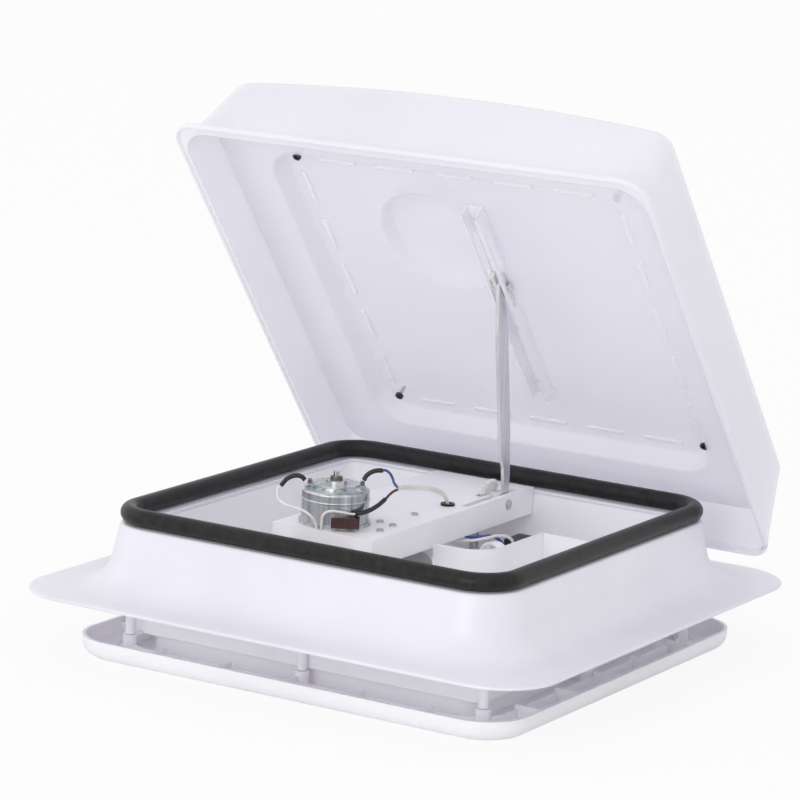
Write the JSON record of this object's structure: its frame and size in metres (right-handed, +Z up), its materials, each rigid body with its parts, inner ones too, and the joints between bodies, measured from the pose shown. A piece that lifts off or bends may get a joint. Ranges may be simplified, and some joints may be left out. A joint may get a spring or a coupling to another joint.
{
  "type": "caravan roof vent",
  "caption": "Square roof vent with hinged milky lid on a crank-driven lift arm, fan motor on a bridge, rubber rim seal and inside trim ring.",
  "frame": {"origin": "middle of the roof cut-out, on the underside of the roof flange", "axes": "+Z up out of the roof, +Y towards the lid's hinge, +X to the right seen from the lid's opening side"},
  "size_m": [0.478, 0.5089, 0.4559],
  "materials": {
    "white_moulding": "satin moulded white plastic",
    "milky_lid": "translucent milky white moulding",
    "black_rubber": "matt black rubber",
    "zinc_steel": "zinc plated steel",
    "bright_steel": "polished steel",
    "dark_screw": "black oxide screws",
    "bronze": "sintered bronze and brass",
    "black_plastic": "black moulded plastic",
    "brown_plastic": "dark brown lacquer",
    "white_pvc": "white wire insulation",
    "red_pvc": "dark red wire insulation",
    "blue_pvc": "blue wire insulation",
    "black_pvc": "black insulating sleeve",
    "nylon": "natural nylon",
    "screen_cloth": "coated woven screen cloth",
    "grey_plastic": "dark grey moulded plastic"
  },
  "bodies": {
    "base": {"roof_flange": "white_moulding", "duct_liner": "white_moulding", "rim_gasket": "black_rubber", "hinge_pins": "zinc_steel", "fan_deck": "white_moulding", "deck_screws": "zinc_steel", "motor_bridge": "white_moulding", "bridge_screws": "dark_screw", "crank_bracket": "white_moulding", "motor_can": "zinc_steel", "motor_end_cap": "zinc_steel", "motor_bush": "bronze", "motor_terminals": "bronze", "motor_screws": "zinc_steel", "suppressor_block": "brown_plastic", "lead_white_left": "white_pvc", "lead_white_front": "white_pvc", "lead_red": "red_pvc", "lead_blue": "blue_pvc", "lead_sleeves": "black_pvc", "feed_cable": "white_pvc", "cable_grommet": "black_rubber", "box_lead_blue": "blue_pvc", "box_lead_white": "white_pvc", "box_strap": "white_moulding", "terminal_block": "black_plastic", "pivot_pin": "zinc_steel", "crank_bush": "nylon", "trim_ring": "white_moulding", "trim_screws": "zinc_steel", "screen_frame": "white_moulding", "insect_screen": "screen_cloth", "switch_body": "black_plastic"},
    "lid": {"lid_dome": "milky_lid", "lid_tray": "milky_lid", "lid_screws": "dark_screw", "slide_track": "milky_lid", "track_screws": "zinc_steel"},
    "arm": {"lift_arm": "zinc_steel", "gear_sector": "nylon", "arm_rivets": "zinc_steel"},
    "shoes": {"slide_shoes": "nylon", "tip_pin": "bright_steel"},
    "crank": {"crank_shaft": "zinc_steel", "crank_knob": "white_moulding"},
    "handle": {"crank_handle": "white_moulding"},
    "fan": {"motor_shaft": "bright_steel", "fan_rotor": "nylon", "fan_nut": "zinc_steel"},
    "speed": {"speed_knob": "grey_plastic"}
  },
  "joints": [
    {"name": "lid_hinge", "type": "hinge", "parent": "base", "child": "lid", "pos_m": [0, 0.2007, 0.0285], "axis": [-1, 0, 0], "range_deg": [-51.3, 0]},
    {"name": "arm_pivot", "type": "hinge", "parent": "base", "child": "arm", "pos_m": [0.01, 0.122, 0.05], "axis": [-1, 0, 0], "range_deg": [-75, 1]},
    {"name": "shoe_swivel", "type": "hinge", "parent": "arm", "child": "shoes", "pos_m": [0.01, 0.10312, 0.23906], "axis": [-1, 0, 0], "range_deg": [-1, 24]},
    {"name": "crank_turn", "type": "hinge", "parent": "base", "child": "crank", "pos_m": [0, 0.098, 0], "axis": [0, 0, -1], "range_deg": [-1800, 5]},
    {"name": "handle_fold", "type": "hinge", "parent": "crank", "child": "handle", "pos_m": [0, 0.085, -0.049], "axis": [-1, 0, 0], "range_deg": [0, 100]},
    {"name": "fan_spin", "type": "hinge", "parent": "base", "child": "fan", "pos_m": [-0.04, -0.062, 0], "axis": [0, 0, 1], "continuous": true},
    {"name": "speed_turn", "type": "hinge", "parent": "base", "child": "speed", "pos_m": [0.122, 0.122, -0.045], "axis": [0, 0, -1], "range_deg": [0, 240]}
  ],
  "couplings": [
    {"joint": "arm_pivot", "follows": "lid_hinge", "ratio": 1.4423},
    {"joint": "shoe_swivel", "follows": "lid_hinge", "ratio": -0.4423},
    {"joint": "crank_turn", "follows": "lid_hinge", "ratio": 34.615}
  ]
}
